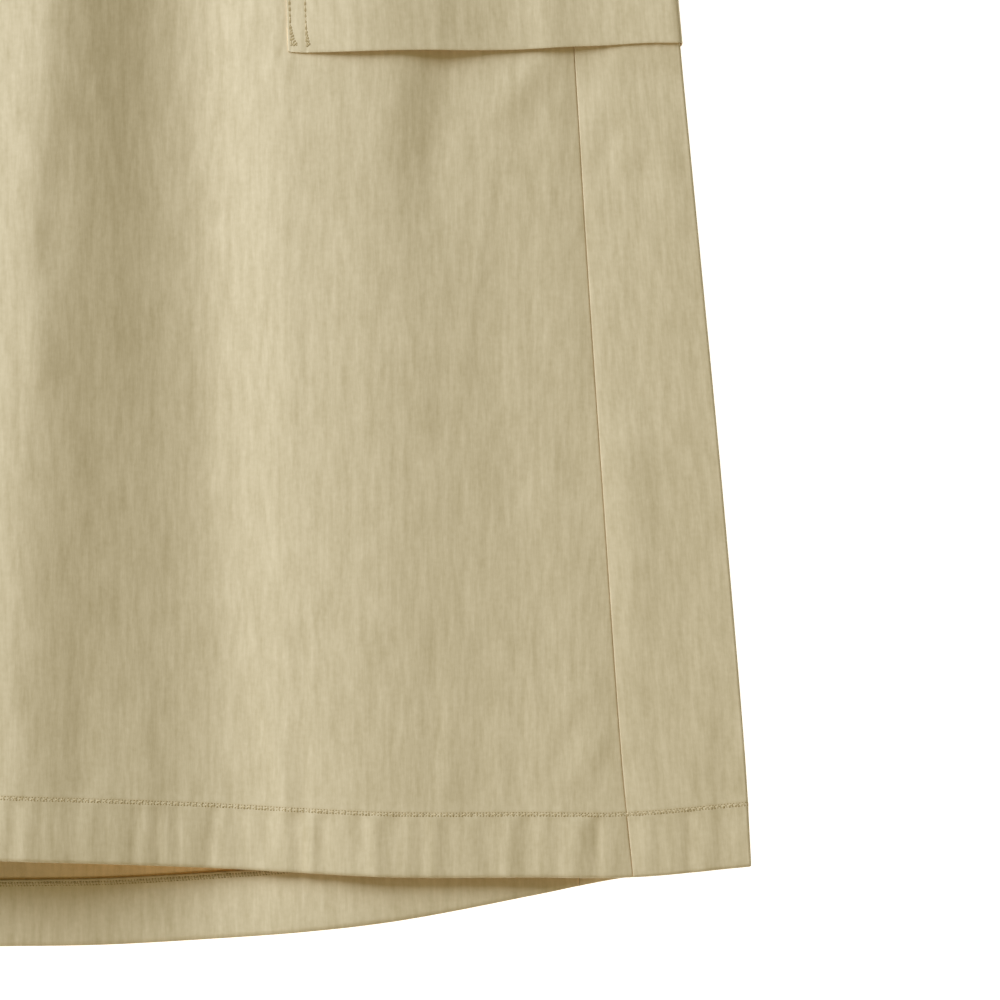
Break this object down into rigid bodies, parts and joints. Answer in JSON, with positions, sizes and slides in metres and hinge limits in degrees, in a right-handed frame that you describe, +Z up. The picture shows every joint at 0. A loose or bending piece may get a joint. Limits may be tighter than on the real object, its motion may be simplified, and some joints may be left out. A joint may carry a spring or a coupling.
{
  "type": "cargo skirt",
  "caption": "A-line cargo skirt laid flat, with gathered elastic waistband, wrap-round side pockets with plain flaps, and a turned-up hem that dips at the back.",
  "frame": {"origin": "centre of the bounding box's underside, on the surface that the skirt lies on", "axes": "+Z up from the surface, out of the front; +Y from hem to waist; +X towards the wearer's left"},
  "size_m": [0.6, 0.76, 0.0217],
  "materials": {
    "shell_cloth": "plain-woven cotton with slubs, matt",
    "pocket_cloth": "the same cotton, matt",
    "waistband_cloth": "the same cotton over elastic, matt"
  },
  "bodies": {
    "root": {"front": "shell_cloth", "back": "shell_cloth", "side_left": "shell_cloth", "side_right": "shell_cloth", "waistband": "waistband_cloth", "pocket_left": "pocket_cloth", "pocket_right": "pocket_cloth", "flap_left": "pocket_cloth", "flap_right": "pocket_cloth"}
  },
  "joints": []
}
